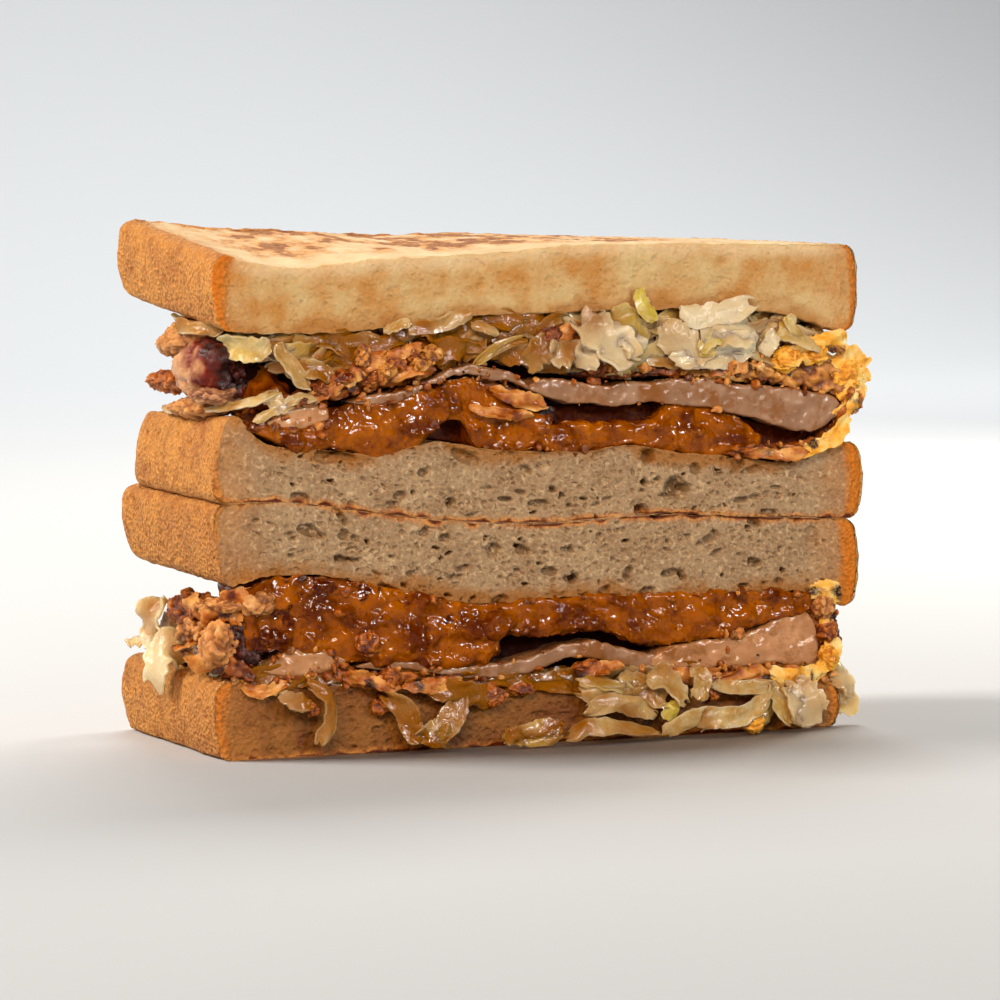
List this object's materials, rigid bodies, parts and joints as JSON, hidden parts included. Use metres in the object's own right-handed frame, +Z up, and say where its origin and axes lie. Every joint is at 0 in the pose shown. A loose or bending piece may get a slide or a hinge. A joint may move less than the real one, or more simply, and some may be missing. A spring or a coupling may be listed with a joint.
{
  "type": "fried chicken sandwich on toast, cut in two and stacked",
  "caption": "Fried chicken sandwich on thick white toast, cut in two and stacked with the cut faces in line, showing sauce, battered chicken and shredded cabbage.",
  "frame": {"origin": "middle of the sandwich's box in plan, at the surface that it stands on", "axes": "+X along the cut faces, from the end that shows its crust in the picture to the other end; -Y is the way the cut faces look; +Z up"},
  "size_m": [0.1258, 0.0562, 0.088],
  "materials": {
    "toast": "soft white bread crumb with open pores inside a tan baked crust, dry and matte",
    "batter": "deep-fried craggy batter, golden brown with darker burnt edges, oily in places",
    "meat": "cooked chicken meat cut across, pale pinkish beige, moist",
    "sauce": "thick orange-brown sauce, wet and glossy",
    "cabbage": "shredded white cabbage, translucent pale yellow-green, moist"
  },
  "bodies": {
    "root": {"lower_bread_bottom": "toast", "lower_cabbage": "cabbage", "lower_chicken": "batter", "lower_sauce": "sauce", "lower_bread_top": "toast", "upper_bread_bottom": "toast", "upper_sauce": "sauce", "upper_chicken": "batter", "upper_cabbage": "cabbage", "upper_bread_top": "toast"}
  },
  "joints": []
}
